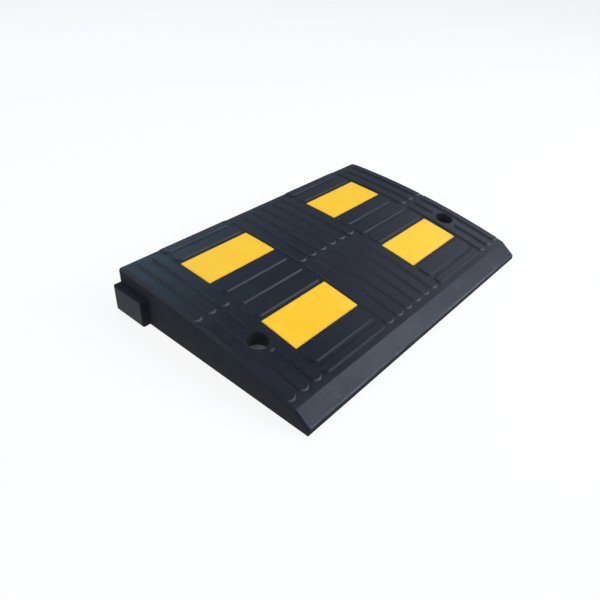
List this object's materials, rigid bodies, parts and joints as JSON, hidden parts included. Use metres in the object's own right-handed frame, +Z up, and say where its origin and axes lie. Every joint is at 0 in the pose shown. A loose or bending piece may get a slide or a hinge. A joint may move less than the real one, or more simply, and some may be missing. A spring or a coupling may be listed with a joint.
{
  "type": "rubber drive-up ramp",
  "caption": "Low rubber ramp wedge with a convex ribbed top, steep nose, inset reflective panels, counterbored bolt holes, and a tongue and socket that link ramps end to end.",
  "frame": {"origin": "Middle of the flat underside, on the ground: halfway along the ramp without its tongue, and halfway from the back face to the nose.", "axes": "X runs along the ramp from the tongue end (-X) to the socket end (+X). Y runs up the slope from the nose (-Y) to the high back face (+Y). Z is up."},
  "size_m": [0.511, 0.325, 0.06],
  "materials": {
    "black_rubber": "moulded, satin black with a faint blue bloom",
    "yellow_reflector": "smooth retroreflective sheet",
    "adhesive": "cured adhesive",
    "zinc_steel": "zinc plated, dull"
  },
  "bodies": {
    "root": {"rubber_body": "black_rubber", "reflector_back_left": "yellow_reflector", "reflector_back_right": "yellow_reflector", "reflector_front_left": "yellow_reflector", "reflector_front_right": "yellow_reflector", "glue_back_left": "adhesive", "glue_back_right": "adhesive", "glue_front_left": "adhesive", "glue_front_right": "adhesive", "washer_left": "zinc_steel", "washer_right": "zinc_steel"}
  },
  "joints": []
}
